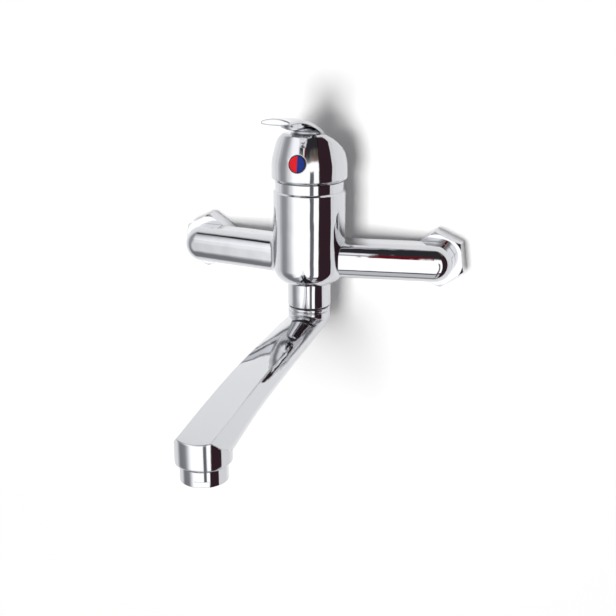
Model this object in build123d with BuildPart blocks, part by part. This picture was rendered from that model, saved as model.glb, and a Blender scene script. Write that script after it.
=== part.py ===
from build123d import *
from math import cos, hypot, radians, sin, sqrt, tan
import os

os.makedirs("parts", exist_ok=True)

# Wall-mounted basin mixer with a swivel spout, in millimetres.
# Origin: midway between the two inlets, in the plane of the union nuts' wall ends.
# +X is the right-hand inlet, +Y goes into the wall, +Z is up.
# Heights are measured from the inlets' axis.

# Where the tap sits
INLET_CENTRES = 150.0
STAND_OFF = 30.0
SPOUT_REACH = 160.0
INLET_X = INLET_CENTRES / 2

# Clearances
THREAD_GAP = 0.05
RUNNING_GAP = 0.08
BODY_GAP = 0.4

# Body casting
BODY_R = 21.8
BODY_TOP = 41.9
BODY_BOTTOM = -15.0
BODY_BOTTOM_ROUND = 10.0
BODY_TOP_CHAMFER = 1.0
NECK_R = 13.2
NECK_BOTTOM = -29.0
NECK_POCKET_R = 8.0
NECK_POCKET_TOP = -12.0
ARM_HALF_HEIGHT = 11.0
ARM_SWEEP = 8.5
ARM_DEPTH = 18.5
ARM_FRONT_ROUND = 8.5
ARM_BLEND = 3.5
WATERWAY_R = 4.8
WATERWAY_END_X = 5.0
WATERWAY_Y_AT_NUT = 7.5
WATERWAY_Y_AT_PORT = -4.0

# Union nuts, which stand between the body's arms and the wall, turned as they were tightened
UNION_TURN_LEFT = -3.2
UNION_TURN_RIGHT = 7.2
UNION_LENGTH = 12.0
UNION_HEX = 30.0
UNION_CHAMFER = 1.6
UNION_CORNER_R = UNION_HEX / sqrt(3)
UNION_LIP = 2.7
UNION_LIP_R = 10.1
UNION_RELIEF_R = 12.5
INLET_THREAD_R = 12.06
ARM_BACK_AT_NUT = STAND_OFF - UNION_LENGTH - BODY_GAP

# Screwed inlet tails, which hold the union nuts
TAIL_THREAD_R = 9.2
TAIL_THREAD_LENGTH = 9.0
TAIL_FLANGE_R = 11.6
TAIL_FLANGE = 1.8
TAIL_BORE_R = 5.5
TAIL_KEY = 12.0
TAIL_KEY_DEPTH = 7.0
WASHER_THICKNESS = 2.0
WASHER_BORE_R = 7.6

# Ports in the cartridge chamber's floor
CHAMBER_FLOOR = 8.5
CHAMBER_R = 17.6
INLET_PORT_R = 2.9
INLET_PORT_X = 7.3
INLET_PORT_Y = -4.3
OUTLET_PORT_R = 3.0
OUTLET_PORT_Y = 6.0
PORT_SEAL_LAND = 0.6
PORT_SEAL_WIDTH = 1.5
PORT_SEAL_DEPTH = 1.2
PEG_R = 1.5
PEG_X = 12.2
PEG_Y = 5.5
PEG_LENGTH = 2.5

# Ceramic cartridge, a standard 35 mm one
CARTRIDGE_R = 17.4
CARTRIDGE_BORE_R = 15.6
BASE_R = 15.5
BASE_HEIGHT = 4.92
BASE_RIM = 1.2
DISC_R = 13.0
DISC_THICKNESS = 3.5
MOVING_DISC_R = 11.7
MIXING_RECESS_R = 5.0
MIXING_RECESS_LENGTH = 3.2
MIXING_RECESS_DEPTH = 1.8
CARRIER_HEIGHT = 5.0
CARRIER_PEG_R = 1.2
CARRIER_PEG_X = 8.6
CARRIER_PEG_LENGTH = 1.5
ROTOR_ROOM = 7.5
HOUSING_TOP = 1.5
HOUSING_NECK_R = 12.5
HOUSING_NECK_BORE_R = 10.7
HOUSING_NECK_HEIGHT = 5.0
ROTOR_NECK = 4.5
ROTOR_SLOT_FRONT = 6.0
ROTOR_SLOT_BACK = 8.5
PIVOT_ABOVE_CARRIER = 5.5
PIVOT_PIN_R = 1.5
PIVOT_PIN_LENGTH = 29.0
STEM_SIZE = 8.0
STEM_CHAMFER = 0.6
STEM_BALL_R = 2.4
STEM_BALL_IN_CARRIER = 2.7
STEM_SHANK_R = 1.4
STEM_ABOVE_CARRIER = 2.0
STEM_IN_SOCKET = 13.0

# Cartridge nut and trim ring
NUT_THREAD_R = 19.0
NUT_BORE_R = 13.2
NUT_FLANGE_R = 19.5
NUT_FLANGE = 1.3
NUT_HEX = 32.0
NUT_ABOVE_BODY = 4.5
RING_R = 20.7
RING_BORE_R = 19.7
RING_FOOT_BORE_R = 19.1
RING_FOOT = 0.6
RING_HEIGHT = 5.6

# Handle: a dome with a tongue-shaped lever
RIM_R = 22.75
RIM_HEIGHT = 48.0
RIM_ROUND = 1.4
DOME_WALL = 1.9
DOME_SIDE = ((22.75, 49.4), (22.75, 53.0), (22.5, 59.0), (21.1, 65.3), (19.4, 71.0), (18.0, 75.0))
DOME_TOP = 76.2
DOME_TOP_R = 16.8
DOME_BACK_AT_AXIS = 70.8
DOME_BACK_SLOPE = 38.3
DOME_BACK_ROUND = 5.0
SOCKET_R = 8.5
SOCKET_BOTTOM = 53.5
HANDLE_SCREW_HEIGHT = 60.4
HANDLE_SCREW_R = 2.5
HANDLE_SCREW_LENGTH = 5.0
HANDLE_SCREW_KEY = 2.5
HANDLE_SCREW_KEY_DEPTH = 2.5
INDICATOR_R = 5.1
INDICATOR_DEPTH = 2.6
INDICATOR_FRONT = 22.3
INDICATOR_TILT = 8.5
INDICATOR_RIM = 0.45
INDICATOR_INLAY = 0.8

# Lever's sections: distance forward of the axis, half width, upper edge, crown, lower edge, base
LEVER_SECTIONS = (
    (57.5, 8.2, 89.2, 90.9, 87.7, 86.0),
    (40.0, 8.7, 87.6, 88.9, 86.4, 83.6),
    (20.0, 9.0, 83.7, 85.6, 81.9, 79.6),
    (5.0, 9.2, 78.4, 81.2, 76.2, 74.0),
    (-8.0, 9.2, 71.8, 75.2, 67.0, 62.0),
    (-15.0, 8.4, 65.5, 68.5, 59.0, 56.0),
    (-20.0, 7.0, 57.5, 59.5, 54.0, 53.0),
)
LEVER_END_ROUND = 0.6

# Spout
HUB_R = 12.9
SLIP_GAP = 1.0
HUB_TOP = NECK_BOTTOM - SLIP_GAP
HUB_BOTTOM = -47.0
HUB_BEAD = 2.0
HUB_GROOVE = 0.6
HUB_GROOVE_WIDTH = 0.9
HUB_SIDE_END = -37.0
HUB_WAIST_R = 9.9
HUB_WAIST = -42.0
HUB_FOOT_R = 5.6
HUB_ROUND = 3.0
HUB_BORE_END = -40.6
HEAD_R = 14.3
HEAD_TOP_LEVEL = -54.0
HEAD_BOTTOM = -61.8
HEAD_CHAMFER = 2.0
SPOUT_WAY_R = 4.0
SPOUT_WAY = ((0.0, -40.8), (80.0, -44.0), (SPOUT_REACH, -52.0))
HUB_BORE_R = 8.5
NIPPLE_THREAD_R = 9.3
NIPPLE_THREAD_LENGTH = 12.0
NIPPLE_BORE_R = 5.4
NIPPLE_END = -39.5
O_RING = 1.8
O_RING_GROOVE = 2.2
O_RING_HEIGHTS = (-31.8, -34.2)
LOCK_GROOVE_HEIGHT = -37.4
LOCK_GROOVE_WIDTH = 2.6
LOCK_GROOVE_DEPTH = 1.6
LOCK_SCREW_R = 2.0
LOCK_SCREW_POINT_R = 1.1
LOCK_SCREW_POINT = 1.6
LOCK_SCREW_KEY = 2.0
LOCK_SCREW_KEY_DEPTH = 1.8
SLIP_WASHER_R = 12.6

# Spout's sections: distance forward of the hub's axis, top, its crown and half width,
# half width and height of the side, half width and height of the base, bows of the two flanks
SPOUT_SECTIONS = (
    (1.0, -33.4, 2.6, 9.0, 12.2, -39.4, 3.0, -46.0, 0.7, 0.4),
    (15.0, -33.6, 2.6, 9.2, 13.4, -39.6, 4.2, -47.4, 0.7, 1.2),
    (35.0, -33.8, 2.2, 9.2, 13.5, -39.8, 5.2, -48.5, 0.6, 1.6),
    (60.0, -34.8, 1.4, 9.3, 13.4, -40.8, 6.0, -50.0, 0.4, 1.8),
    (90.0, -36.9, 0.5, 9.4, 13.4, -43.2, 6.8, -52.3, 0.3, 1.8),
    (120.0, -39.8, 0.15, 9.5, 13.6, -46.4, 8.0, -55.0, 0.2, 1.6),
    (160.0, -44.5, 0.1, 9.2, 14.0, -51.4, 10.5, -60.0, 0.2, 1.4),
    (176.0, -46.8, 0.1, 9.2, 14.2, -53.4, 10.5, -60.0, 0.2, 1.4),
)

# Aerator
OUTLET_THREAD_R = 11.0
OUTLET_THREAD_LENGTH = 4.2
OUTLET_BORE_R = 9.0
AERATOR_R = 12.0
AERATOR_LENGTH = 8.0
AERATOR_LIP = 1.2
AERATOR_LIP_R = 9.0
AERATOR_FLAT_DEPTH = 0.6
AERATOR_FLAT_HEIGHT = 3.0
AERATOR_TURN = 18.0
OUTLET_BORE_TOP = -56.5
INSERT_R = 8.7
INSERT_LENGTH = 9.5
INSERT_TOP = 1.5
INSERT_WALL = 1.2
INSERT_FLANGE_R = 10.6
INSERT_FLANGE = 1.4
JET_R = 0.6
JET_COUNT = 12
JET_CIRCLE_R = 5.5
MESH_R = 8.0
MESH_THICKNESS = 0.5
MESH_HOLE_R = 0.65
MESH_PITCH = 1.9
MESH_ROWS = 9

# Heights that follow from the sizes above
BASE_TOP = CHAMBER_FLOOR + BASE_HEIGHT
MOVING_DISC_HEIGHT = BASE_TOP + DISC_THICKNESS + RUNNING_GAP
CARRIER_BOTTOM = MOVING_DISC_HEIGHT + DISC_THICKNESS
CARRIER_TOP = CARRIER_BOTTOM + CARRIER_HEIGHT
ROTOR_BOTTOM = CARRIER_TOP + RUNNING_GAP
HOUSING_TOP_LEVEL = CARRIER_TOP + ROTOR_ROOM + HOUSING_TOP
HOUSING_HEIGHT = HOUSING_TOP_LEVEL - CHAMBER_FLOOR
ROTOR_TOP = HOUSING_TOP_LEVEL + ROTOR_NECK
NUT_TOP = BODY_TOP + NUT_ABOVE_BODY
STEM_BALL_HEIGHT = CARRIER_BOTTOM + STEM_BALL_IN_CARRIER
STEM_SHOULDER = CARRIER_TOP + STEM_ABOVE_CARRIER
STEM_TOP = SOCKET_BOTTOM + STEM_IN_SOCKET
PIVOT_HEIGHT = CARRIER_TOP + PIVOT_ABOVE_CARRIER

# The body's vertical axis, and planes set out from it
TURN_AXIS = Axis((0, -STAND_OFF, 0), (0, 0, 1))
PROFILE = Plane(origin=(0, -STAND_OFF, 0), x_dir=(1, 0, 0), z_dir=(0, -1, 0))
SIDE = Plane(origin=(0, -STAND_OFF, 0), x_dir=(0, -1, 0), z_dir=(-1, 0, 0))


def level(height):
    """Horizontal plane centred on the body's axis."""
    return Plane((0, -STAND_OFF, height))


def across(distance, height=0.0, x=0.0):
    """Upright plane facing the user, at a distance in front of the body's axis."""
    return Plane(origin=(x, -STAND_OFF - distance, height), x_dir=(1, 0, 0), z_dir=(0, -1, 0))


def turned(profile, mode=Mode.ADD):
    """Revolve a closed outline of radius and height about the body's axis."""
    with BuildSketch(PROFILE) as outline:
        with BuildLine():
            Polyline(*profile, close=True)
        make_face()
    revolve(outline.sketch, axis=TURN_AXIS, mode=mode)


def disc(height, radius, thickness, mode=Mode.ADD, x=0.0, y=0.0):
    """Upright cylinder from a height upwards, placed from the body's axis."""
    with BuildSketch(level(height)) as outline:
        with Locations((x, y)):
            Circle(radius)
    extrude(outline.sketch, amount=thickness, mode=mode)


def ring(height, outer, inner, thickness, mode=Mode.ADD, x=0.0, y=0.0):
    """Upright tube from a height upwards, placed from the body's axis."""
    with BuildSketch(level(height)) as outline:
        with Locations((x, y)):
            Circle(outer)
            Circle(inner, mode=Mode.SUBTRACT)
    extrude(outline.sketch, amount=thickness, mode=mode)


def keep(piece, name):
    """Label a finished piece and write it."""
    piece.part.label = name
    export_step(piece.part, f"parts/{name}.step")


def ports():
    """The three ports as x, y and radius."""
    return (
        (-INLET_PORT_X, INLET_PORT_Y, INLET_PORT_R),
        (INLET_PORT_X, INLET_PORT_Y, INLET_PORT_R),
        (0.0, OUTLET_PORT_Y, OUTLET_PORT_R),
    )


# Arm blank: a round-ended bar, swept back to its inlet, with a softly rounded front
sweep_back = tan(radians(ARM_SWEEP))
arm_end_x = INLET_X + ARM_HALF_HEIGHT
boss_x = INLET_X - ARM_HALF_HEIGHT


def arm_back(x):
    """How far behind the body's axis the arm's back is, at a distance along X."""
    return ARM_BACK_AT_NUT + (x - boss_x) * sweep_back


with BuildPart() as arm_blank:
    with BuildSketch(Plane((0, -STAND_OFF, -ARM_HALF_HEIGHT))):
        with BuildLine():
            Polyline(
                (0, arm_back(0)),
                (boss_x, arm_back(boss_x)),
                (arm_end_x, arm_back(boss_x)),
                (arm_end_x, arm_back(arm_end_x) - ARM_DEPTH),
                (0, arm_back(0) - ARM_DEPTH),
                close=True,
            )
        make_face()
    extrude(amount=2 * ARM_HALF_HEIGHT)
    with BuildSketch(across(-STAND_OFF)):
        with Locations((INLET_X / 2, 0)):
            SlotCenterToCenter(INLET_X, 2 * ARM_HALF_HEIGHT)
    extrude(amount=3 * STAND_OFF, mode=Mode.INTERSECT)
    front = arm_blank.faces().filter_by(GeomType.PLANE).sort_by(Axis.Y)[0]
    fillet(front.edges().sort_by(Axis.X)[1:], radius=ARM_FRONT_ROUND)

# Body casting: column, arms and outlet neck in one piece, cored for the water
with BuildPart() as body:
    disc(BODY_BOTTOM, BODY_R, BODY_TOP - BODY_BOTTOM)
    rims = body.edges().filter_by(GeomType.CIRCLE).sort_by(Axis.Z)
    fillet(rims[0], radius=BODY_BOTTOM_ROUND)
    chamfer(rims[-1], length=BODY_TOP_CHAMFER)
    add(arm_blank.part)
    add(mirror(arm_blank.part, about=Plane.YZ, mode=Mode.PRIVATE))
    fillet(body.edges(Select.NEW).group_by(Axis.Z)[-1], radius=ARM_BLEND)
    disc(NECK_BOTTOM, NECK_R, BODY_BOTTOM - NECK_BOTTOM + BODY_BOTTOM_ROUND)
    chamber_depth = BODY_TOP - CHAMBER_FLOOR
    disc(CHAMBER_FLOOR, CHAMBER_R, chamber_depth, mode=Mode.SUBTRACT)
    disc(HOUSING_TOP_LEVEL, NUT_THREAD_R, BODY_TOP - HOUSING_TOP_LEVEL, mode=Mode.SUBTRACT)
    for side in (-1, 1):
        with BuildSketch(across(-ARM_BACK_AT_NUT, x=side * INLET_X)) as tail_hole:
            Circle(TAIL_THREAD_R)
        extrude(tail_hole.sketch, amount=TAIL_THREAD_LENGTH, mode=Mode.SUBTRACT)
        with BuildSketch(across(-ARM_BACK_AT_NUT, x=side * INLET_X)) as tail_way:
            Circle(WATERWAY_R)
        extrude(
            tail_way.sketch,
            amount=ARM_BACK_AT_NUT - WATERWAY_Y_AT_NUT,
            mode=Mode.SUBTRACT,
        )
        way_start = Vector(side * WATERWAY_END_X, WATERWAY_Y_AT_PORT - STAND_OFF, 0)
        way_end = Vector(side * INLET_X, WATERWAY_Y_AT_NUT - STAND_OFF, 0)
        way = way_end - way_start
        with BuildSketch(Plane(origin=way_start, z_dir=way)) as cross_way:
            Circle(WATERWAY_R)
        extrude(cross_way.sketch, amount=way.length, mode=Mode.SUBTRACT)
        disc(
            0,
            INLET_PORT_R,
            CHAMBER_FLOOR,
            mode=Mode.SUBTRACT,
            x=side * INLET_PORT_X,
            y=INLET_PORT_Y,
        )
        disc(
            CHAMBER_FLOOR - PEG_LENGTH,
            PEG_R + THREAD_GAP,
            PEG_LENGTH,
            mode=Mode.SUBTRACT,
            x=side * PEG_X,
            y=PEG_Y,
        )
    disc(
        NECK_POCKET_TOP - OUTLET_PORT_R,
        OUTLET_PORT_R,
        CHAMBER_FLOOR - NECK_POCKET_TOP + OUTLET_PORT_R,
        mode=Mode.SUBTRACT,
        y=OUTLET_PORT_Y,
    )
    disc(NECK_BOTTOM, NECK_POCKET_R, NECK_POCKET_TOP - NECK_BOTTOM, mode=Mode.SUBTRACT)
    disc(NECK_BOTTOM, NIPPLE_THREAD_R, NIPPLE_THREAD_LENGTH, mode=Mode.SUBTRACT)

keep(body, "body")

# Inlet side: screwed tail, union nut and washer, once for each inlet
tail_flange_front = -UNION_LENGTH + UNION_LIP + BODY_GAP
washer_front = tail_flange_front + TAIL_FLANGE


def inlet_disc(y, x, radius, length, mode=Mode.ADD):
    """Cylinder on an inlet's axis, from a plane towards the wall."""
    with BuildSketch(Plane(origin=(x, y, 0), x_dir=(-1, 0, 0), z_dir=(0, 1, 0))) as outline:
        Circle(radius)
    extrude(outline.sketch, amount=length, mode=mode)


def inlet_hexagon(y, x, flats, length, turn=0.0, mode=Mode.ADD):
    """Hexagonal bar on an inlet's axis, turned from point upwards, from a plane to the wall."""
    with BuildSketch(Plane(origin=(x, y, 0), x_dir=(-1, 0, 0), z_dir=(0, 1, 0))) as outline:
        RegularPolygon(flats / 2, 6, major_radius=False, rotation=30 - turn)
    extrude(outline.sketch, amount=length, mode=mode)


for side, hand, turn in ((-1, "left", UNION_TURN_LEFT), (1, "right", UNION_TURN_RIGHT)):
    inlet_x = side * INLET_X
    with BuildPart() as inlet_tail:
        inlet_disc(
            -UNION_LENGTH - BODY_GAP - TAIL_THREAD_LENGTH,
            inlet_x,
            TAIL_THREAD_R - THREAD_GAP,
            TAIL_THREAD_LENGTH + UNION_LIP + 2 * BODY_GAP,
        )
        inlet_disc(tail_flange_front, inlet_x, TAIL_FLANGE_R, TAIL_FLANGE)
        tail_length = TAIL_THREAD_LENGTH + UNION_LIP + 2 * BODY_GAP + TAIL_FLANGE
        inlet_disc(
            washer_front - tail_length,
            inlet_x,
            TAIL_BORE_R,
            tail_length,
            mode=Mode.SUBTRACT,
        )
        inlet_hexagon(
            washer_front - TAIL_KEY_DEPTH,
            inlet_x,
            TAIL_KEY,
            TAIL_KEY_DEPTH,
            mode=Mode.SUBTRACT,
        )
    keep(inlet_tail, f"inlet_tail_{hand}")

    with BuildPart() as inlet_washer:
        inlet_disc(washer_front, inlet_x, TAIL_FLANGE_R, WASHER_THICKNESS)
        inlet_disc(
            washer_front, inlet_x, WASHER_BORE_R, WASHER_THICKNESS, mode=Mode.SUBTRACT
        )
    keep(inlet_washer, f"inlet_washer_{hand}")

    with BuildPart() as union_nut:
        inlet_hexagon(-UNION_LENGTH, inlet_x, UNION_HEX, UNION_LENGTH, turn)
        with BuildPart(mode=Mode.PRIVATE) as turned_ends:
            inlet_disc(-UNION_LENGTH, inlet_x, UNION_CORNER_R, UNION_LENGTH)
            chamfer(
                turned_ends.edges().filter_by(GeomType.CIRCLE).sort_by(Axis.Y)[0],
                length=UNION_CHAMFER,
            )
        add(turned_ends.part, mode=Mode.INTERSECT)
        inlet_disc(-UNION_LENGTH, inlet_x, UNION_LIP_R, UNION_LIP, mode=Mode.SUBTRACT)
        inlet_disc(
            -UNION_LENGTH + UNION_LIP,
            inlet_x,
            UNION_RELIEF_R,
            washer_front + WASHER_THICKNESS + UNION_LENGTH - UNION_LIP,
            mode=Mode.SUBTRACT,
        )
        inlet_disc(
            washer_front + WASHER_THICKNESS,
            inlet_x,
            INLET_THREAD_R,
            -washer_front - WASHER_THICKNESS,
            mode=Mode.SUBTRACT,
        )
    keep(union_nut, f"union_nut_{hand}")

# Retaining nut of the cartridge
with BuildPart() as cartridge_nut:
    thread_length = BODY_TOP + RING_FOOT - HOUSING_TOP_LEVEL
    disc(HOUSING_TOP_LEVEL + THREAD_GAP, NUT_THREAD_R - THREAD_GAP, thread_length)
    flange_bottom = BODY_TOP + RING_FOOT + THREAD_GAP
    disc(flange_bottom, NUT_FLANGE_R, NUT_FLANGE)
    with BuildSketch(level(flange_bottom)) as nut_hexagon:
        RegularPolygon(NUT_HEX / 2, 6, major_radius=False)
    extrude(nut_hexagon.sketch, amount=NUT_TOP - flange_bottom)
    disc(
        HOUSING_TOP_LEVEL,
        NUT_BORE_R,
        NUT_TOP - HOUSING_TOP_LEVEL,
        mode=Mode.SUBTRACT,
    )
keep(cartridge_nut, "cartridge_nut")

# Trim ring, clamped by its foot under the nut
with BuildPart() as trim_ring:
    ring(BODY_TOP, RING_R, RING_BORE_R, RING_HEIGHT)
    ring(BODY_TOP, RING_R, RING_FOOT_BORE_R, RING_FOOT)
keep(trim_ring, "trim_ring")

# Cartridge housing
with BuildPart() as cartridge_housing:
    disc(CHAMBER_FLOOR, CARTRIDGE_R, HOUSING_HEIGHT)
    disc(HOUSING_TOP_LEVEL, HOUSING_NECK_R, HOUSING_NECK_HEIGHT)
    disc(
        CHAMBER_FLOOR,
        CARTRIDGE_BORE_R,
        HOUSING_HEIGHT - HOUSING_TOP,
        mode=Mode.SUBTRACT,
    )
    disc(
        CHAMBER_FLOOR,
        HOUSING_NECK_BORE_R,
        HOUSING_HEIGHT + HOUSING_NECK_HEIGHT,
        mode=Mode.SUBTRACT,
    )
keep(cartridge_housing, "cartridge_housing")


def port_rings(height, thickness, room, mode=Mode.ADD):
    """A ring round each port, with room on both sides."""
    for x, y, radius in ports():
        inner = radius + PORT_SEAL_LAND
        ring(
            height,
            inner + PORT_SEAL_WIDTH + room,
            inner - room,
            thickness,
            mode=mode,
            x=x,
            y=y,
        )


# Cartridge base with its pegs, ports and seal grooves
with BuildPart() as cartridge_base:
    disc(CHAMBER_FLOOR, BASE_R, BASE_HEIGHT + BASE_RIM)
    disc(BASE_TOP, DISC_R + BODY_GAP / 2, BASE_RIM, mode=Mode.SUBTRACT)
    for side in (-1, 1):
        disc(CHAMBER_FLOOR - PEG_LENGTH + BODY_GAP, PEG_R, PEG_LENGTH, x=side * PEG_X, y=PEG_Y)
    for x, y, radius in ports():
        disc(CHAMBER_FLOOR, radius, BASE_HEIGHT, mode=Mode.SUBTRACT, x=x, y=y)
    port_rings(CHAMBER_FLOOR, PORT_SEAL_DEPTH + THREAD_GAP, THREAD_GAP, mode=Mode.SUBTRACT)
    port_rings(
        BASE_TOP - PORT_SEAL_DEPTH - THREAD_GAP,
        PORT_SEAL_DEPTH + THREAD_GAP,
        THREAD_GAP,
        mode=Mode.SUBTRACT,
    )
keep(cartridge_base, "cartridge_base")

with BuildPart() as port_seals:
    port_rings(CHAMBER_FLOOR, PORT_SEAL_DEPTH, 0.0)
keep(port_seals, "port_seals")

with BuildPart() as disc_seals:
    port_rings(BASE_TOP - PORT_SEAL_DEPTH, PORT_SEAL_DEPTH, 0.0)
keep(disc_seals, "disc_seals")

# Ceramic discs: the fixed one has the ports, the moving one a recess that joins them
with BuildPart() as fixed_disc:
    disc(BASE_TOP, DISC_R, DISC_THICKNESS)
    for x, y, radius in ports():
        disc(BASE_TOP, radius, DISC_THICKNESS, mode=Mode.SUBTRACT, x=x, y=y)
keep(fixed_disc, "fixed_disc")

with BuildPart() as moving_disc:
    disc(MOVING_DISC_HEIGHT, MOVING_DISC_R, DISC_THICKNESS)
    with BuildSketch(level(MOVING_DISC_HEIGHT)) as mixing_recess:
        with Locations((0, MIXING_RECESS_LENGTH / 2)):
            SlotCenterToCenter(MIXING_RECESS_LENGTH, 2 * MIXING_RECESS_R, rotation=90)
    extrude(mixing_recess.sketch, amount=MIXING_RECESS_DEPTH, mode=Mode.SUBTRACT)
    for side in (-1, 1):
        disc(
            CARRIER_BOTTOM - CARRIER_PEG_LENGTH,
            CARRIER_PEG_R + THREAD_GAP,
            CARRIER_PEG_LENGTH,
            mode=Mode.SUBTRACT,
            x=side * CARRIER_PEG_X,
        )
keep(moving_disc, "moving_disc")

# Disc carrier, pushed by the stem's ball
with BuildPart() as disc_carrier:
    disc(CARRIER_BOTTOM, MOVING_DISC_R, CARRIER_HEIGHT)
    disc(CARRIER_BOTTOM, STEM_BALL_R + RUNNING_GAP, CARRIER_HEIGHT, mode=Mode.SUBTRACT)
    for side in (-1, 1):
        disc(
            CARRIER_BOTTOM - CARRIER_PEG_LENGTH + THREAD_GAP,
            CARRIER_PEG_R,
            CARRIER_PEG_LENGTH,
            x=side * CARRIER_PEG_X,
        )
keep(disc_carrier, "disc_carrier")


def pivot_bore(radius):
    """Hole along X at the stem's pivot."""
    with BuildSketch(Plane(origin=(0, -STAND_OFF, PIVOT_HEIGHT), z_dir=(1, 0, 0))) as outline:
        Circle(radius)
    extrude(outline.sketch, amount=CARTRIDGE_R, both=True, mode=Mode.SUBTRACT)


# Rotor that turns with the handle and carries the stem's pivot
with BuildPart() as cartridge_rotor:
    flange_top = HOUSING_TOP_LEVEL - HOUSING_TOP - RUNNING_GAP
    disc(ROTOR_BOTTOM, CARTRIDGE_BORE_R - RUNNING_GAP, flange_top - ROTOR_BOTTOM)
    disc(ROTOR_BOTTOM, HOUSING_NECK_BORE_R - RUNNING_GAP, ROTOR_TOP - ROTOR_BOTTOM)
    with BuildSketch(level(ROTOR_BOTTOM)) as stem_slot:
        with Locations((0, (ROTOR_SLOT_BACK - ROTOR_SLOT_FRONT) / 2)):
            Rectangle(STEM_SIZE + 2 * RUNNING_GAP, ROTOR_SLOT_FRONT + ROTOR_SLOT_BACK)
    extrude(stem_slot.sketch, amount=ROTOR_TOP - ROTOR_BOTTOM, mode=Mode.SUBTRACT)
    pivot_bore(PIVOT_PIN_R + THREAD_GAP)
keep(cartridge_rotor, "cartridge_rotor")

with BuildPart() as pivot_pin:
    with BuildSketch(Plane(origin=(0, -STAND_OFF, PIVOT_HEIGHT), z_dir=(1, 0, 0))):
        Circle(PIVOT_PIN_R)
    extrude(amount=PIVOT_PIN_LENGTH / 2, both=True)
keep(pivot_pin, "pivot_pin")

# Square stem with a ball at its foot
with BuildPart() as cartridge_stem:
    with BuildSketch(level(STEM_SHOULDER)):
        Rectangle(STEM_SIZE, STEM_SIZE)
    extrude(amount=STEM_TOP - STEM_SHOULDER)
    chamfer(cartridge_stem.faces().sort_by(Axis.Z)[-1].edges(), length=STEM_CHAMFER)
    disc(STEM_BALL_HEIGHT, STEM_SHANK_R, STEM_SHOULDER - STEM_BALL_HEIGHT)
    with Locations((0, -STAND_OFF, STEM_BALL_HEIGHT)):
        Sphere(STEM_BALL_R)
    pivot_bore(PIVOT_PIN_R + RUNNING_GAP)
keep(cartridge_stem, "cartridge_stem")


# Handle casting
def dome_outline(wall):
    """Half section of the dome, inset from its outside by a wall."""
    with BuildSketch(PROFILE) as outline:
        with BuildLine():
            side = [(radius - wall, height) for radius, height in DOME_SIDE]
            top = DOME_TOP - wall
            rim_r = min(side[0][0], RIM_R - RIM_ROUND)
            Polyline((0, top), (0, RIM_HEIGHT), (rim_r, RIM_HEIGHT), side[0])
            Spline(*side)
            Polyline(side[-1], (DOME_TOP_R - wall, top), (0, top))
        make_face()
    return outline.sketch


def dome_back(wall):
    """Side view of what is cut from the dome's back, inset by a wall."""
    rise = tan(radians(DOME_BACK_SLOPE))
    start = DOME_BACK_AT_AXIS - wall / cos(radians(DOME_BACK_SLOPE))
    reach = 2 * RIM_R
    with BuildSketch(SIDE) as outline:
        with BuildLine():
            Polyline(
                (-reach, start - reach * rise),
                (reach, start + reach * rise),
                (reach, start + 2 * reach),
                (-reach, start + 2 * reach),
                close=True,
            )
        make_face()
    return outline.sketch


with BuildPart() as handle_cavity:
    revolve(dome_outline(DOME_WALL), axis=TURN_AXIS)
    extrude(dome_back(DOME_WALL), amount=2 * RIM_R, both=True, mode=Mode.SUBTRACT)
    disc(SOCKET_BOTTOM, SOCKET_R, DOME_TOP - SOCKET_BOTTOM, mode=Mode.SUBTRACT)

with BuildPart() as lever_blank:
    for distance, half_width, upper_edge, crown, lower_edge, base in LEVER_SECTIONS:
        with BuildSketch(across(distance)):
            with BuildLine():
                ThreePointArc((-half_width, upper_edge), (0, crown), (half_width, upper_edge))
                Line((half_width, upper_edge), (half_width, lower_edge))
                ThreePointArc((half_width, lower_edge), (0, base), (-half_width, lower_edge))
                Line((-half_width, lower_edge), (-half_width, upper_edge))
            make_face()
    loft()
    lever_end = lever_blank.faces().sort_by(Axis.Y)[0]
    fillet(lever_end.edges(), radius=LEVER_END_ROUND)

indicator_face = Plane(
    origin=(0, -STAND_OFF - INDICATOR_FRONT, HANDLE_SCREW_HEIGHT),
    x_dir=(1, 0, 0),
    z_dir=(0, -cos(radians(INDICATOR_TILT)), sin(radians(INDICATOR_TILT))),
)

with BuildPart() as handle:
    revolve(dome_outline(0.0), axis=TURN_AXIS)
    extrude(dome_back(0.0), amount=2 * RIM_R, both=True, mode=Mode.SUBTRACT)
    back = handle.faces().filter_by(GeomType.PLANE).sort_by(Axis.Y)[-1]
    back_rim = back.edges().sort_by(SortBy.LENGTH)[-1]
    fillet(back_rim, radius=DOME_BACK_ROUND)
    add(lever_blank.part)
    add(handle_cavity.part, mode=Mode.SUBTRACT)
    with BuildSketch(level(SOCKET_BOTTOM)) as socket:
        Rectangle(STEM_SIZE + 2 * THREAD_GAP, STEM_SIZE + 2 * THREAD_GAP)
    extrude(
        socket.sketch, amount=STEM_TOP + BODY_GAP - SOCKET_BOTTOM, mode=Mode.SUBTRACT
    )
    with BuildSketch(across(0, height=HANDLE_SCREW_HEIGHT)) as screw_hole:
        Circle(HANDLE_SCREW_R + THREAD_GAP)
    extrude(screw_hole.sketch, amount=RIM_R / 2, mode=Mode.SUBTRACT)
    with BuildSketch(indicator_face) as indicator_hole:
        Circle(INDICATOR_R + THREAD_GAP)
    extrude(
        indicator_hole.sketch,
        amount=INDICATOR_DEPTH + DOME_WALL,
        both=True,
        mode=Mode.SUBTRACT,
    )
keep(handle, "handle")

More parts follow.
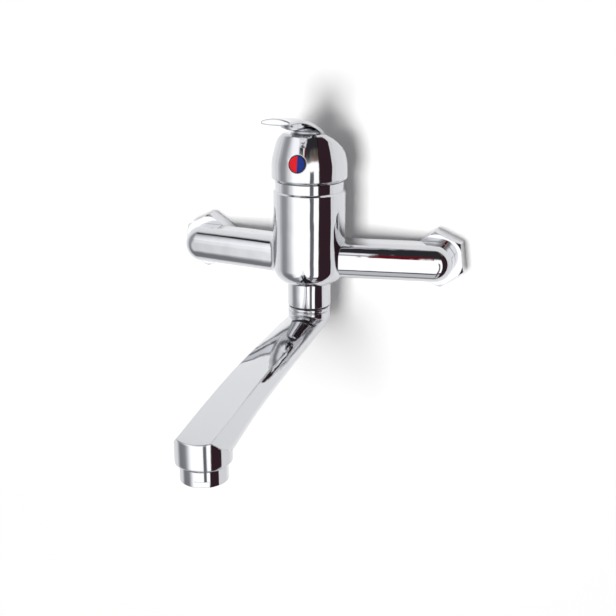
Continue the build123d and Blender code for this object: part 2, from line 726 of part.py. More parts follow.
# Grub screw that clamps the handle on the stem
with BuildPart() as handle_screw:
    with BuildSketch(across(STEM_SIZE / 2 + THREAD_GAP, height=HANDLE_SCREW_HEIGHT)):
        Circle(HANDLE_SCREW_R)
    extrude(amount=HANDLE_SCREW_LENGTH)
    key_start = STEM_SIZE / 2 + THREAD_GAP + HANDLE_SCREW_LENGTH - HANDLE_SCREW_KEY_DEPTH
    with BuildSketch(across(key_start, height=HANDLE_SCREW_HEIGHT)):
        RegularPolygon(HANDLE_SCREW_KEY / 2, 6, major_radius=False)
    extrude(amount=HANDLE_SCREW_KEY_DEPTH, mode=Mode.SUBTRACT)
keep(handle_screw, "handle_screw")

# Hot and cold indicator: a plug with two inlaid halves
with BuildPart() as indicator_plug:
    with BuildSketch(indicator_face):
        Circle(INDICATOR_R)
    extrude(amount=-INDICATOR_DEPTH)
    with BuildSketch(indicator_face):
        Circle(INDICATOR_R - INDICATOR_RIM)
    extrude(amount=-INDICATOR_INLAY, mode=Mode.SUBTRACT)
keep(indicator_plug, "indicator_plug")


def inlay_half(side):
    """Half disc of the indicator, on the left or the right."""
    reach = INDICATOR_R - INDICATOR_RIM - THREAD_GAP
    with BuildSketch(indicator_face) as outline:
        Circle(reach)
        with Locations((side * (reach / 2 + THREAD_GAP / 2), 0)):
            Rectangle(reach, 2 * reach, mode=Mode.INTERSECT)
    extrude(outline.sketch, amount=THREAD_GAP - INDICATOR_INLAY)


with BuildPart() as indicator_red:
    inlay_half(-1)
keep(indicator_red, "indicator_red")

with BuildPart() as indicator_blue:
    inlay_half(1)
keep(indicator_blue, "indicator_blue")


# Spout: swivel hub, arched arm and round head
def bowed(start, end, bow):
    """Point beside the middle of a chord, on its right-hand side going downwards."""
    run = end[0] - start[0]
    fall = end[1] - start[1]
    chord = hypot(run, fall)
    return (
        (start[0] + end[0]) / 2 - fall / chord * bow,
        (start[1] + end[1]) / 2 + run / chord * bow,
    )


with BuildPart() as spout_arm:
    for section in SPOUT_SECTIONS:
        distance, top, crown, top_half, side_half, side, base_half, base, upper, lower = section
        ridge = (top_half, top - crown)
        widest = (side_half, side)
        foot = (base_half, base)
        with BuildSketch(across(distance)):
            with BuildLine():
                ThreePointArc((-top_half, top - crown), (0, top), ridge)
                flank = ThreePointArc(ridge, bowed(ridge, widest, upper), widest)
                belly = ThreePointArc(widest, bowed(widest, foot, lower), foot)
                Line(foot, (-base_half, base))
                mirror(belly, about=Plane.YZ)
                mirror(flank, about=Plane.YZ)
            make_face()
    loft()
    with BuildSketch(level(HEAD_BOTTOM)) as arm_plan:
        with Locations((0, -SPOUT_REACH / 2)):
            Rectangle(4 * HEAD_R, SPOUT_REACH)
        with Locations((0, -SPOUT_REACH)):
            Circle(HEAD_R)
    extrude(arm_plan.sketch, amount=HUB_TOP - HEAD_BOTTOM, mode=Mode.INTERSECT)

with BuildPart() as spout:
    bead_end = HUB_TOP - HUB_BEAD
    groove_end = bead_end - HUB_GROOVE_WIDTH
    turned(
        (
            (0, HUB_TOP),
            (HUB_R - HUB_GROOVE, HUB_TOP),
            (HUB_R, HUB_TOP - HUB_GROOVE),
            (HUB_R, bead_end),
            (HUB_R - HUB_GROOVE, bead_end - HUB_GROOVE_WIDTH / 3),
            (HUB_R - HUB_GROOVE, groove_end + HUB_GROOVE_WIDTH / 3),
            (HUB_R, groove_end),
            (HUB_R, HUB_SIDE_END),
            (HUB_WAIST_R, HUB_WAIST),
            (HUB_FOOT_R, HUB_BOTTOM),
            (0, HUB_BOTTOM),
        )
    )
    hub_rims = spout.edges().filter_by(GeomType.CIRCLE).sort_by(Axis.Z)
    fillet((hub_rims[0], hub_rims[2]), radius=HUB_ROUND)
    add(spout_arm.part)
    with BuildPart(mode=Mode.PRIVATE) as spout_head:
        disc(HEAD_BOTTOM, HEAD_R, HEAD_TOP_LEVEL - HEAD_BOTTOM, y=-SPOUT_REACH)
        head_rim = spout_head.edges().filter_by(GeomType.CIRCLE).sort_by(Axis.Z)[0]
        chamfer(head_rim, length=HEAD_CHAMFER)
    add(spout_head.part)
    disc(
        HEAD_BOTTOM - OUTLET_THREAD_LENGTH,
        OUTLET_THREAD_R,
        OUTLET_THREAD_LENGTH,
        y=-SPOUT_REACH,
    )
    disc(
        HEAD_BOTTOM - OUTLET_THREAD_LENGTH,
        OUTLET_BORE_R,
        OUTLET_BORE_TOP - HEAD_BOTTOM + OUTLET_THREAD_LENGTH,
        mode=Mode.SUBTRACT,
        y=-SPOUT_REACH,
    )
    for (near, near_height), (far, far_height) in zip(SPOUT_WAY, SPOUT_WAY[1:]):
        start = Vector(0, -STAND_OFF - near, near_height)
        run = Vector(0, -STAND_OFF - far, far_height) - start
        with BuildSketch(Plane(origin=start, z_dir=run)) as way:
            Circle(SPOUT_WAY_R)
        extrude(way.sketch, amount=run.length, mode=Mode.SUBTRACT)
    disc(
        OUTLET_BORE_TOP,
        SPOUT_WAY_R,
        SPOUT_WAY[-1][1] - OUTLET_BORE_TOP,
        mode=Mode.SUBTRACT,
        y=-SPOUT_REACH,
    )
    disc(HUB_BORE_END, HUB_BORE_R, HUB_TOP - HUB_BORE_END, mode=Mode.SUBTRACT)
    with BuildSketch(across(-HUB_R, height=LOCK_GROOVE_HEIGHT)) as lock_hole:
        Circle(LOCK_SCREW_R + THREAD_GAP)
    extrude(lock_hole.sketch, amount=HUB_R, mode=Mode.SUBTRACT)
keep(spout, "spout")

# Nipple that the spout swivels on
with BuildPart() as spout_nipple:
    nipple_r = HUB_BORE_R - RUNNING_GAP
    nipple_top = NECK_BOTTOM + NIPPLE_THREAD_LENGTH - THREAD_GAP
    disc(NECK_BOTTOM, NIPPLE_THREAD_R - THREAD_GAP, nipple_top - NECK_BOTTOM)
    disc(NIPPLE_END, nipple_r, NECK_BOTTOM - NIPPLE_END)
    disc(NIPPLE_END, NIPPLE_BORE_R, nipple_top - NIPPLE_END, mode=Mode.SUBTRACT)
    groove_r = HUB_BORE_R - THREAD_GAP - O_RING - THREAD_GAP
    for height in O_RING_HEIGHTS:
        ring(height - O_RING_GROOVE / 2, nipple_r, groove_r, O_RING_GROOVE, mode=Mode.SUBTRACT)
    ring(
        LOCK_GROOVE_HEIGHT - LOCK_GROOVE_WIDTH / 2,
        nipple_r,
        nipple_r - LOCK_GROOVE_DEPTH,
        LOCK_GROOVE_WIDTH,
        mode=Mode.SUBTRACT,
    )
keep(spout_nipple, "spout_nipple")

with BuildPart() as spout_o_rings:
    for height in O_RING_HEIGHTS:
        with BuildSketch(PROFILE) as section:
            with Locations((HUB_BORE_R - THREAD_GAP - O_RING / 2, height)):
                Circle(O_RING / 2)
        revolve(section.sketch, axis=TURN_AXIS)
keep(spout_o_rings, "spout_o_rings")

with BuildPart() as spout_slip_washer:
    washer_bottom = HUB_TOP + RUNNING_GAP
    ring(washer_bottom, SLIP_WASHER_R, HUB_BORE_R, NECK_BOTTOM - washer_bottom)
keep(spout_slip_washer, "spout_slip_washer")

# Set screw in the back of the hub, with its point in the nipple's groove
with BuildPart() as spout_set_screw:
    point_start = nipple_r - LOCK_GROOVE_DEPTH + BODY_GAP
    with BuildSketch(across(-point_start, height=LOCK_GROOVE_HEIGHT)):
        Circle(LOCK_SCREW_POINT_R)
    extrude(amount=-LOCK_SCREW_POINT - BODY_GAP)
    shank_start = point_start + LOCK_SCREW_POINT
    with BuildSketch(across(-shank_start, height=LOCK_GROOVE_HEIGHT)):
        Circle(LOCK_SCREW_R)
    extrude(amount=shank_start - HUB_R + BODY_GAP)
    with BuildSketch(across(BODY_GAP - HUB_R, height=LOCK_GROOVE_HEIGHT)):
        RegularPolygon(LOCK_SCREW_KEY / 2, 6, major_radius=False)
    extrude(amount=LOCK_SCREW_KEY_DEPTH, mode=Mode.SUBTRACT)
keep(spout_set_screw, "spout_set_screw")

# Aerator: screwed housing, plastic insert, mesh and washer
aerator_top = HEAD_BOTTOM - THREAD_GAP
aerator_bottom = aerator_top - AERATOR_LENGTH
insert_bottom = aerator_bottom + AERATOR_LIP
insert_shoulder = insert_bottom + INSERT_FLANGE
stub_end = HEAD_BOTTOM - OUTLET_THREAD_LENGTH

with BuildPart() as aerator_housing:
    disc(aerator_bottom, AERATOR_R, AERATOR_LENGTH, y=-SPOUT_REACH)
    disc(aerator_bottom, AERATOR_LIP_R, AERATOR_LIP, mode=Mode.SUBTRACT, y=-SPOUT_REACH)
    disc(
        insert_bottom,
        OUTLET_THREAD_R + THREAD_GAP,
        AERATOR_LENGTH - AERATOR_LIP,
        mode=Mode.SUBTRACT,
        y=-SPOUT_REACH,
    )
    flat_reach = AERATOR_R - AERATOR_FLAT_DEPTH
    with BuildSketch(level(aerator_bottom)) as key_flats:
        with Locations((0, -SPOUT_REACH)):
            Circle(2 * AERATOR_R)
            Rectangle(
                4 * AERATOR_R,
                2 * flat_reach,
                rotation=AERATOR_TURN,
                mode=Mode.SUBTRACT,
            )
    extrude(key_flats.sketch, amount=AERATOR_FLAT_HEIGHT, mode=Mode.SUBTRACT)
keep(aerator_housing, "aerator_housing")

with BuildPart() as aerator_insert:
    disc(insert_bottom, INSERT_FLANGE_R, INSERT_FLANGE, y=-SPOUT_REACH)
    disc(insert_bottom, INSERT_R, INSERT_LENGTH, y=-SPOUT_REACH)
    disc(
        insert_bottom,
        INSERT_R - INSERT_WALL,
        INSERT_LENGTH - INSERT_TOP,
        mode=Mode.SUBTRACT,
        y=-SPOUT_REACH,
    )
    disc(insert_bottom, MESH_R, MESH_THICKNESS, mode=Mode.SUBTRACT, y=-SPOUT_REACH)
    with BuildSketch(level(insert_bottom)) as jets:
        with Locations((0, -SPOUT_REACH)):
            with PolarLocations(JET_CIRCLE_R, JET_COUNT):
                Circle(JET_R)
    extrude(jets.sketch, amount=INSERT_LENGTH, mode=Mode.SUBTRACT)
keep(aerator_insert, "aerator_insert")

with BuildPart() as aerator_mesh:
    disc(insert_bottom, MESH_R - THREAD_GAP, MESH_THICKNESS, y=-SPOUT_REACH)
    with BuildSketch(level(insert_bottom)) as holes:
        with Locations((0, -SPOUT_REACH)):
            with HexLocations(MESH_PITCH / 2, MESH_ROWS, MESH_ROWS):
                Circle(MESH_HOLE_R)
            Circle(MESH_R - MESH_PITCH / 2, mode=Mode.INTERSECT)
    extrude(holes.sketch, amount=MESH_THICKNESS, mode=Mode.SUBTRACT)
keep(aerator_mesh, "aerator_mesh")

with BuildPart() as aerator_washer:
    ring(
        insert_shoulder,
        INSERT_FLANGE_R,
        INSERT_R + THREAD_GAP,
        stub_end - insert_shoulder,
        y=-SPOUT_REACH,
    )
keep(aerator_washer, "aerator_washer")
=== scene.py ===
from math import cos, pi, radians, sin

import bmesh
import bpy
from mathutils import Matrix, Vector

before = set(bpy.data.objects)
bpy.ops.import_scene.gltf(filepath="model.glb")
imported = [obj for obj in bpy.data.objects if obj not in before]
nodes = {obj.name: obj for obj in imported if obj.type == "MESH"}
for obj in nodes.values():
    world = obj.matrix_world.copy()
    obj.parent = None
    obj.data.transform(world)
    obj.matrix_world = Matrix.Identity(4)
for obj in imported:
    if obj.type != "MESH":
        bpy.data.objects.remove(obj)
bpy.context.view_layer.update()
scene = bpy.context.scene

# Lengths are in metres and angles in degrees, except where a name ends in _MM
MM_PER_M = 1000
WHITE = "#FFFFFF"

# Camera, as fitted to the photograph
VIEW_TARGET = Vector((-0.00088, -0.030, -0.03271))
VIEW_DISTANCE = 0.63197
VIEW_AZIMUTH = 18.71
VIEW_ELEVATION = 18.03
VIEW_LENS_MM = 59.73
VIEW_SENSOR_MM = 36.0
VIEW_NEAREST = 0.01


def linear(hex_colour):
    """An sRGB hex colour as linear red, green, blue and alpha."""
    channels = [int(hex_colour[i : i + 2], 16) / 255 for i in (1, 3, 5)]
    return [c / 12.92 if c <= 0.04045 else ((c + 0.055) / 1.055) ** 2.4 for c in channels] + [1.0]


def empty_material(name):
    """A material without any node."""
    material = bpy.data.materials.new(name)
    material.use_nodes = True
    material.node_tree.nodes.clear()
    return material


def add_node(material, kind, settings=None, values=None, links=None):
    """Adds a node with its settings and values, and links other sockets into it."""
    node = material.node_tree.nodes.new(kind)
    for key, value in (settings or {}).items():
        setattr(node, key, value)
    for key, value in (values or {}).items():
        node.inputs[key].default_value = value
    for key, socket in (links or {}).items():
        material.node_tree.links.new(socket, node.inputs[key])
    return node


def object_place(material):
    """Where a point lies on its own piece."""
    return add_node(material, "ShaderNodeTexCoord").outputs["Object"]


def maths(material, operation, *terms):
    """The result of a Math node, each of whose terms is a socket or a number."""
    numbers = {i: term for i, term in enumerate(terms) if isinstance(term, (int, float))}
    sockets = {i: term for i, term in enumerate(terms) if i not in numbers}
    node = add_node(material, "ShaderNodeMath", {"operation": operation}, numbers, sockets)
    return node.outputs[0]


def remap(material, value, start, end, at_start=0.0, at_end=1.0, **settings):
    """A value carried over from the range start to end into the range at_start to at_end."""
    node = add_node(
        material,
        "ShaderNodeMapRange",
        settings,
        values={"From Min": start, "From Max": end, "To Min": at_start, "To Max": at_end},
        links={"Value": value},
    )
    return node.outputs["Result"]


def noise(material, place, spot_mm, detail):
    """Noise between 0 and 1, in spots of about this size."""
    node = add_node(
        material,
        "ShaderNodeTexNoise",
        values={"Scale": MM_PER_M / spot_mm, "Detail": detail},
        links={"Vector": place},
    )
    return node.outputs["Fac"]


def between(material, factor, first, second):
    """A mix of two hex colours: the first where the factor is 0, the second where it is 1."""
    node = add_node(
        material,
        "ShaderNodeMix",
        settings={"data_type": "RGBA"},
        values={"A": linear(first), "B": linear(second)},
        links={"Factor": factor},
    )
    return node.outputs["Result"]


def bump(material, height, strength, depth_mm, normal=None):
    """A normal that shades a surface as if the height stood out of it by this depth."""
    links = {"Height": height}
    if normal is not None:
        links["Normal"] = normal
    node = add_node(
        material,
        "ShaderNodeBump",
        values={"Strength": strength, "Distance": depth_mm / MM_PER_M},
        links=links,
    )
    return node.outputs["Normal"]


def show(material, shader):
    """Makes a shader the material's surface."""
    add_node(material, "ShaderNodeOutputMaterial", links={0: shader})


def principled(material, values, links):
    """Gives the material Blender's general surface."""
    surface = add_node(material, "ShaderNodeBsdfPrincipled", values=values, links=links)
    show(material, surface.outputs[0])


# Chrome plate over polished metal: a mirror whose lines waver where the wheel polished a
# casting, faint smears, and edges that the wheel has softened. The waves are drawn deeper
# than they are, so that they show at this size
SMEAR_MM = 14.0
SMEAR_RANGE = (0.35, 0.7)
LEAST_HAZE = 0.6
MOST_HAZE = 1.5
EDGE_SAMPLES = 6


def chrome_plate(name, tint, wave_mm, wave_depth_mm, haze, edge_mm):
    material = empty_material(name)
    place = object_place(material)
    edge = add_node(
        material,
        "ShaderNodeBevel",
        settings={"samples": EDGE_SAMPLES},
        values={"Radius": edge_mm / MM_PER_M},
    )
    wave = noise(material, place, wave_mm, detail=1.0)
    swell = bump(material, wave, 1.0, wave_depth_mm, edge.outputs["Normal"])
    smear = noise(material, place, SMEAR_MM, detail=3.0)
    wiped = remap(material, smear, *SMEAR_RANGE, haze * LEAST_HAZE, haze * MOST_HAZE)
    principled(
        material,
        values={"Base Color": linear(tint), "Metallic": 1.0},
        links={"Roughness": wiped, "Normal": swell},
    )
    return material


# The body's casting: the strongest waves, under edges that are still fairly crisp
plated_casting = chrome_plate(
    "chrome_plated_brass_casting",
    tint="#CDCED1",
    wave_mm=12.0,
    wave_depth_mm=0.15,
    haze=0.045,
    edge_mm=0.35,
)

# The spout: calmer long reflections, and a ridge rounded by the wheel
plated_spout = chrome_plate(
    "chrome_plated_brass_spout",
    tint="#CDCED1",
    wave_mm=12.0,
    wave_depth_mm=0.05,
    haze=0.045,
    edge_mm=1.3,
)

# Turned and milled pieces: almost true mirrors with the crispest edges
plated_turning = chrome_plate(
    "chrome_plated_turned_brass",
    tint="#CDCED1",
    wave_mm=11.0,
    wave_depth_mm=0.006,
    haze=0.045,
    edge_mm=0.3,
)

# The handle's die casting: wavy, a little hazier and well rounded
plated_zinc = chrome_plate(
    "chrome_plated_zinc",
    tint="#CCCDD0",
    wave_mm=12.0,
    wave_depth_mm=0.15,
    haze=0.05,
    edge_mm=1.1,
)


# Brass left as it came off the lathe: warm and dull, a little stained, with fine level
# grooves, which run round the upright pieces and along the two inlet tails
STAIN_MM = 4.0
GROOVE_MM = 1.58
GROOVE_DEPTH_MM = 0.02
BANDS_AT_SCALE_1 = 20 / (2 * pi)


def turned_brass():
    material = empty_material("turned_brass")
    place = object_place(material)
    stain = noise(material, place, STAIN_MM, detail=4.0)
    groove = add_node(
        material,
        "ShaderNodeTexWave",
        settings={"wave_type": "BANDS", "bands_direction": "Z"},
        values={"Scale": MM_PER_M / GROOVE_MM / BANDS_AT_SCALE_1, "Distortion": 0.4},
        links={"Vector": place},
    )
    principled(
        material,
        values={"Metallic": 1.0, "Roughness": 0.28},
        links={
            "Base Color": between(material, stain, "#B8975A", "#CDB071"),
            "Normal": bump(material, groove.outputs["Fac"], 0.5, GROOVE_DEPTH_MM),
        },
    )
    return material


# Plastics, rubber and ceramic: one colour with a faint cloud in it, and a fine grain
CLOUD_MM = 5.0


def moulded(name, dark, light, roughness, grain_mm, grain_depth_mm, ior, shine=0.5):
    material = empty_material(name)
    place = object_place(material)
    cloud = noise(material, place, CLOUD_MM, detail=3.0)
    grain = noise(material, place, grain_mm, detail=2.0)
    principled(
        material,
        values={"IOR": ior, "Specular IOR Level": shine, "Roughness": roughness},
        links={
            "Base Color": between(material, cloud, dark, light),
            "Normal": bump(material, grain, 0.6, grain_depth_mm),
        },
    )
    return material


brass = turned_brass()

# Acetal: an even colour under a satin shine
ACETAL = {"grain_mm": 0.35, "grain_depth_mm": 0.01, "ior": 1.48}
grey_acetal = moulded("grey_acetal", "#9A9C9B", "#A6A8A6", roughness=0.42, **ACETAL)
white_acetal = moulded("white_acetal", "#E2E1DA", "#EDECE6", roughness=0.38, **ACETAL)
# Near-black acetal is painted shade: it goes on the white slip washer, where the shadow under the
# body falls
painted_shade_acetal = moulded("painted_shade_acetal", "#1B1B1C", "#262627", roughness=0.4, **ACETAL)

# Rubber of the seals: nearly black and dull
RUBBER = {"grain_mm": 0.25, "grain_depth_mm": 0.015, "ior": 1.52}
black_rubber = moulded("nitrile_rubber", "#141414", "#1F1E1E", roughness=0.62, **RUBBER)

# Ceramic of the discs: ivory white, lapped smooth
CERAMIC = {"grain_mm": 0.2, "grain_depth_mm": 0.003, "ior": 1.76}
alumina = moulded("lapped_alumina", "#E9E6DC", "#F3F1EA", roughness=0.22, **CERAMIC)

# Indicator in the dome: full colours that mirror little of the tent, in a near-black plug
ABS = {"grain_mm": 0.5, "ior": 1.53, "shine": 0.15}
dark_abs = moulded("dark_abs", "#160E16", "#20161E", roughness=0.3, grain_depth_mm=0.004, **ABS)
red_abs = moulded("red_abs", "#C4121E", "#D41A27", roughness=0.25, grain_depth_mm=0.003, **ABS)
blue_abs = moulded("blue_abs", "#0A2068", "#122E7C", roughness=0.25, grain_depth_mm=0.003, **ABS)


# Stainless steel, drawn and stamped: greyer and duller than the plate, unevenly so
STEEL_SPOT_MM = 0.6
STEEL_SPOT_RANGE = (0.3, 0.7)
STEEL_ROUGHNESS = (0.22, 0.4)


def drawn_steel():
    material = empty_material("drawn_stainless_steel")
    spots = noise(material, object_place(material), STEEL_SPOT_MM, detail=3.0)
    principled(
        material,
        values={"Base Color": linear("#B5B4B0"), "Metallic": 1.0},
        links={"Roughness": remap(material, spots, *STEEL_SPOT_RANGE, *STEEL_ROUGHNESS)},
    )
    return material


steel = drawn_steel()

# The slip washer is white acetal, but it is painted black here as painted shade, for the dark
# line of shadow under the body
FINISHES = {
    plated_casting: ("body",),
    plated_spout: ("spout",),
    plated_turning: ("trim_ring", "aerator_housing", "union_nut_left", "union_nut_right"),
    plated_zinc: ("handle",),
    brass: ("cartridge_nut", "spout_nipple", "inlet_tail_left", "inlet_tail_right"),
    grey_acetal: ("cartridge_housing", "cartridge_base"),
    white_acetal: ("disc_carrier", "cartridge_rotor", "aerator_insert"),
    painted_shade_acetal: ("spout_slip_washer",),
    black_rubber: (
        "port_seals",
        "disc_seals",
        "spout_o_rings",
        "aerator_washer",
        "inlet_washer_left",
        "inlet_washer_right",
    ),
    alumina: ("fixed_disc", "moving_disc"),
    dark_abs: ("indicator_plug",),
    red_abs: ("indicator_red",),
    blue_abs: ("indicator_blue",),
    steel: ("cartridge_stem", "pivot_pin", "handle_screw", "spout_set_screw", "aerator_mesh"),
}
for finish, names in FINISHES.items():
    for name in names:
        for slot in nodes[name].material_slots:
            slot.material = finish


# Pale table top that the tap lies on with its wall ends, upright in this frame. It is white
# to the eye and in the chrome, less the shadow, and fades into plain white beyond the shadow.
# It can't be seen from behind, and it has a hole behind each inlet, where the pipes would be
STUDIO_MIDDLE = Vector((0, -0.03, -0.02))
TABLE_SIZE = 6.0
TABLE_BEHIND_TAP = 0.0006
TABLE_GREY = "#EDEDED"
SHADOW_REACH = 0.15
WHITE_FROM = 0.38
INLET_X = 0.075
INLET_HOLE_R = 0.012


def table_paint():
    finish = empty_material("pale_table")
    place = object_place(finish)
    ray = add_node(finish, "ShaderNodeLightPath").outputs
    shown = ray["Is Camera Ray"]
    for other in ("Is Glossy Ray", "Is Transmission Ray"):
        shown = maths(finish, "MAXIMUM", shown, ray[other])
    matt = add_node(
        finish,
        "ShaderNodeBsdfDiffuse",
        links={"Color": between(finish, shown, TABLE_GREY, WHITE)},
    )
    white = add_node(finish, "ShaderNodeEmission", values={"Strength": 1.0})
    from_tap = add_node(
        finish,
        "ShaderNodeVectorMath",
        settings={"operation": "LENGTH"},
        links={0: place},
    )
    far = remap(
        finish,
        from_tap.outputs["Value"],
        SHADOW_REACH,
        WHITE_FROM,
        interpolation_type="SMOOTHSTEP",
    )
    lit = add_node(
        finish,
        "ShaderNodeMixShader",
        links={0: maths(finish, "MULTIPLY", far, shown), 1: matt.outputs[0], 2: white.outputs[0]},
    )
    either_side = add_node(
        finish,
        "ShaderNodeVectorMath",
        settings={"operation": "ABSOLUTE"},
        links={0: place},
    )
    from_inlet = add_node(
        finish,
        "ShaderNodeVectorMath",
        settings={"operation": "DISTANCE"},
        values={1: (INLET_X, 0, 0)},
        links={0: either_side.outputs[0]},
    )
    hole = maths(finish, "LESS_THAN", from_inlet.outputs["Value"], INLET_HOLE_R)
    back = add_node(finish, "ShaderNodeNewGeometry").outputs["Backfacing"]
    clear = add_node(finish, "ShaderNodeBsdfTransparent")
    one_sided = add_node(
        finish,
        "ShaderNodeMixShader",
        links={0: maths(finish, "MAXIMUM", back, hole), 1: lit.outputs[0], 2: clear.outputs[0]},
    )
    show(finish, one_sided.outputs[0])
    return finish


def table_top():
    half = TABLE_SIZE / 2
    corners = [(-half, 0, -half), (half, 0, -half), (half, 0, half), (-half, 0, half)]
    mesh = bpy.data.meshes.new("table_top")
    mesh.from_pydata(corners, [], [(0, 1, 2, 3)])
    mesh.materials.append(table_paint())
    table = bpy.data.objects.new("table_top", mesh)
    scene.collection.objects.link(table)
    table.location.y = TABLE_BEHIND_TAP


table_top()

# Light tent over the table, which the chrome mirrors. Matt surfaces get only a share of its
# light, and the key lamp gives them the rest. Its folds shift the patches' edges sideways
# and up by up to these angles. Its plain cloth turns warmer towards +X, and is darker at the
# hem by the table. Those two ranges are parts of a unit vector that points at the cloth
TENT_RADIUS = 2.2
TENT_SEGMENTS = 64
TENT_RINGS = 32
TENT_END_Y = 0.03
TENT_LIGHT = 1.65
TENT_SHARE_ON_MATT = 0.32
TENT_FOLD_SCALE = 3.2
TENT_FOLDS = (2.0, 8.0)
CLOTH_GREY = "#8B8B8E"
CLOTH_WARM = "#7C6852"
WARM_RANGE = (-0.2, 0.9)
HEM_RANGE = (0.05, 0.16)
HEM_SHADE = 0.35

# The tent's patches: azimuth from straight in front of the tap, plus towards +X, and then
# elevation, each as its low and high edge and how softly these two end
TENT_PATCHES = {
    "window": ((-45, 48), (19, 2), (-38, 16), (3, 3), WHITE),
    "left_window": ((-50, -15), (16, 4), (10, 50), (3, 3), "#F4F4F6"),
    "left_shade": ((-82, -36), (5, 16), (-66, -19), (8, 11), "#707074"),
    "left_shelf": ((-75, -15), (6, 5), (50, 64), (3, 2), "#26262A"),
    "high_window": ((-75, -15), (6, 5), (66, 84), (2, 4), "#A6A8AC"),
    "left_glow": ((-110, -84), (1, 12), (-88, 88), (1, 1), "#D2D2D5"),
    "dark_shelf": ((-15, 75), (4, 8), (22, 84), (4, 3), "#29292C"),
    "shelf_gap": ((-1.5, 3), (0.6, 0.5), (22, 36), (3, 3), "#E8E8EA"),
    "red_shelf": ((3.5, 8), (0.4, 1), (6, 32), (2, 4), "#5C121A"),
    "low_board": ((-20, 60), (6, 6), (-76, -46), (6, 2), "#B4B4B7"),
    "low_edge": ((-20, 60), (6, 6), (-44, -36), (2, 2), "#242426"),
    "upright": ((20, 31), (1, 1), (-70, -3), (4, 2), "#5E5E62"),
    "upright_edge": ((31, 32.5), (0.5, 0.5), (-70, -3), (4, 2), "#1E1E20"),
    "maroon_board": ((50, 92), (1, 1), (-66, 40), (6, 4), "#2E1E24"),
    "board_edge": ((47.5, 50), (0.5, 0.5), (-66, 40), (6, 4), "#0A090B"),
}


def band(finish, value, edges, softness):
    """1 where a value lies between two edges, fading to 0 over each edge's softness."""
    low, high = edges
    low_soft, high_soft = softness
    smooth = {"interpolation_type": "SMOOTHSTEP"}
    rise = remap(finish, value, low - low_soft, low + low_soft, **smooth)
    fall = remap(finish, value, high + high_soft, high - high_soft, **smooth)
    return maths(finish, "MULTIPLY", rise, fall)


def tent_angles(finish, away, parts, ahead):
    """Azimuth and elevation of a point on the tent, shifted unevenly by the folds."""
    folds = add_node(
        finish,
        "ShaderNodeTexNoise",
        values={"Scale": TENT_FOLD_SCALE, "Detail": 3.0},
        links={"Vector": away},
    )
    turn = maths(finish, "ARCTAN2", parts["X"], ahead)
    rise = maths(finish, "ARCSINE", parts["Z"])
    angles = []
    for angle, most in zip((turn, rise), TENT_FOLDS):
        shift = remap(finish, folds.outputs["Fac"], 0.0, 1.0, -most, most, clamp=False)
        angles.append(maths(finish, "MULTIPLY_ADD", angle, 180 / pi, shift))
    return angles


def tent_paint():
    finish = empty_material("tent_cloth")
    away = add_node(
        finish,
        "ShaderNodeVectorMath",
        settings={"operation": "NORMALIZE"},
        links={0: object_place(finish)},
    ).outputs[0]
    parts = add_node(finish, "ShaderNodeSeparateXYZ", links={0: away}).outputs
    ahead = maths(finish, "MULTIPLY", parts["Y"], -1.0)
    azimuth, elevation = tent_angles(finish, away, parts, ahead)
    warm = remap(finish, parts["X"], *WARM_RANGE)
    hem = remap(finish, ahead, *HEM_RANGE, HEM_SHADE, 1.0, interpolation_type="SMOOTHSTEP")
    cloth = add_node(
        finish,
        "ShaderNodeVectorMath",
        settings={"operation": "SCALE"},
        links={0: between(finish, warm, CLOTH_GREY, CLOTH_WARM), "Scale": hem},
    ).outputs[0]
    for sides, side_softness, heights, height_softness, colour in TENT_PATCHES.values():
        across = band(finish, azimuth, sides, side_softness)
        upright = band(finish, elevation, heights, height_softness)
        cloth = add_node(
            finish,
            "ShaderNodeMix",
            settings={"data_type": "RGBA"},
            values={"B": linear(colour)},
            links={"Factor": maths(finish, "MULTIPLY", across, upright), "A": cloth},
        ).outputs["Result"]
    on_matt = add_node(finish, "ShaderNodeLightPath").outputs["Is Diffuse Ray"]
    strength = remap(finish, on_matt, 0.0, 1.0, TENT_LIGHT, TENT_LIGHT * TENT_SHARE_ON_MATT)
    glow = add_node(finish, "ShaderNodeEmission", links={"Color": cloth, "Strength": strength})
    show(finish, glow.outputs[0])
    return finish


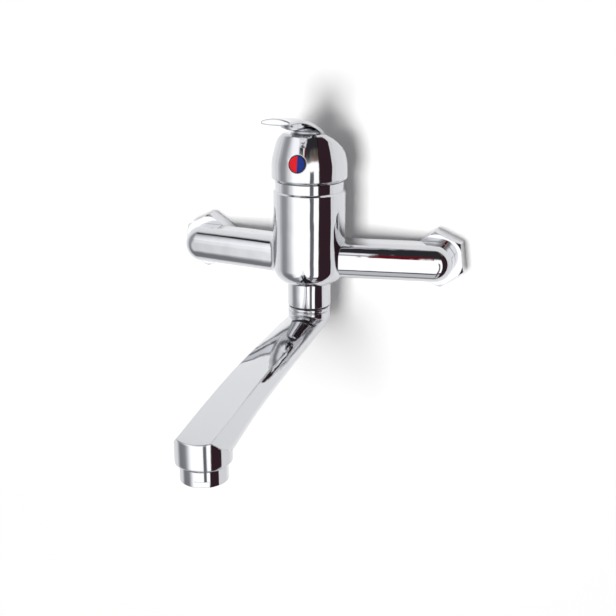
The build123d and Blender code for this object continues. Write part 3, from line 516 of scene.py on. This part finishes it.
def light_tent():
    shell = bmesh.new()
    bmesh.ops.create_uvsphere(
        shell, u_segments=TENT_SEGMENTS, v_segments=TENT_RINGS, radius=TENT_RADIUS
    )
    table_side = [v for v in shell.verts if v.co.y > TENT_END_Y]
    bmesh.ops.delete(shell, geom=table_side, context="VERTS")
    bmesh.ops.reverse_faces(shell, faces=shell.faces)
    mesh = bpy.data.meshes.new("light_tent")
    shell.to_mesh(mesh)
    shell.free()
    mesh.materials.append(tent_paint())
    tent = bpy.data.objects.new("light_tent", mesh)
    scene.collection.objects.link(tent)
    tent.location = STUDIO_MIDDLE
    tent.visible_camera = False


light_tent()


def face_target(item, target, distance, azimuth, elevation):
    """Stands a lamp or camera away from a target, and turns it to face that target."""
    turn = radians(azimuth)
    lift = radians(elevation)
    outward = Vector((sin(turn) * cos(lift), -cos(turn) * cos(lift), sin(lift)))
    item.location = target + distance * outward
    item.rotation_euler = outward.to_track_quat("Z", "Y").to_euler()


# Key lamp from the front, so that the shadow lies close behind; the chrome doesn't mirror it
KEY_AZIMUTH = -2
KEY_ELEVATION = 1
KEY_DISTANCE = 0.95
KEY_SIZE = 0.35
KEY_WATTS = 8.1

key = bpy.data.lights.new("key", "AREA")
key.size = KEY_SIZE
key.energy = KEY_WATTS
key_lamp = bpy.data.objects.new("key", key)
scene.collection.objects.link(key_lamp)
face_target(key_lamp, STUDIO_MIDDLE, KEY_DISTANCE, KEY_AZIMUTH, KEY_ELEVATION)
key_lamp.visible_glossy = False

# White beyond the table and the tent
world = bpy.data.worlds.new("white_room")
scene.world = world
world.use_nodes = True
world.node_tree.nodes["Background"].inputs["Color"].default_value = linear(WHITE)
world.node_tree.nodes["Background"].inputs["Strength"].default_value = 1.0

scene.view_settings.view_transform = "Standard"

camera = bpy.data.objects.new("camera", bpy.data.cameras.new("camera"))
scene.collection.objects.link(camera)
camera.data.lens = VIEW_LENS_MM
camera.data.sensor_width = VIEW_SENSOR_MM
camera.data.clip_start = VIEW_NEAREST
face_target(camera, VIEW_TARGET, VIEW_DISTANCE, VIEW_AZIMUTH, VIEW_ELEVATION)
scene.camera = camera
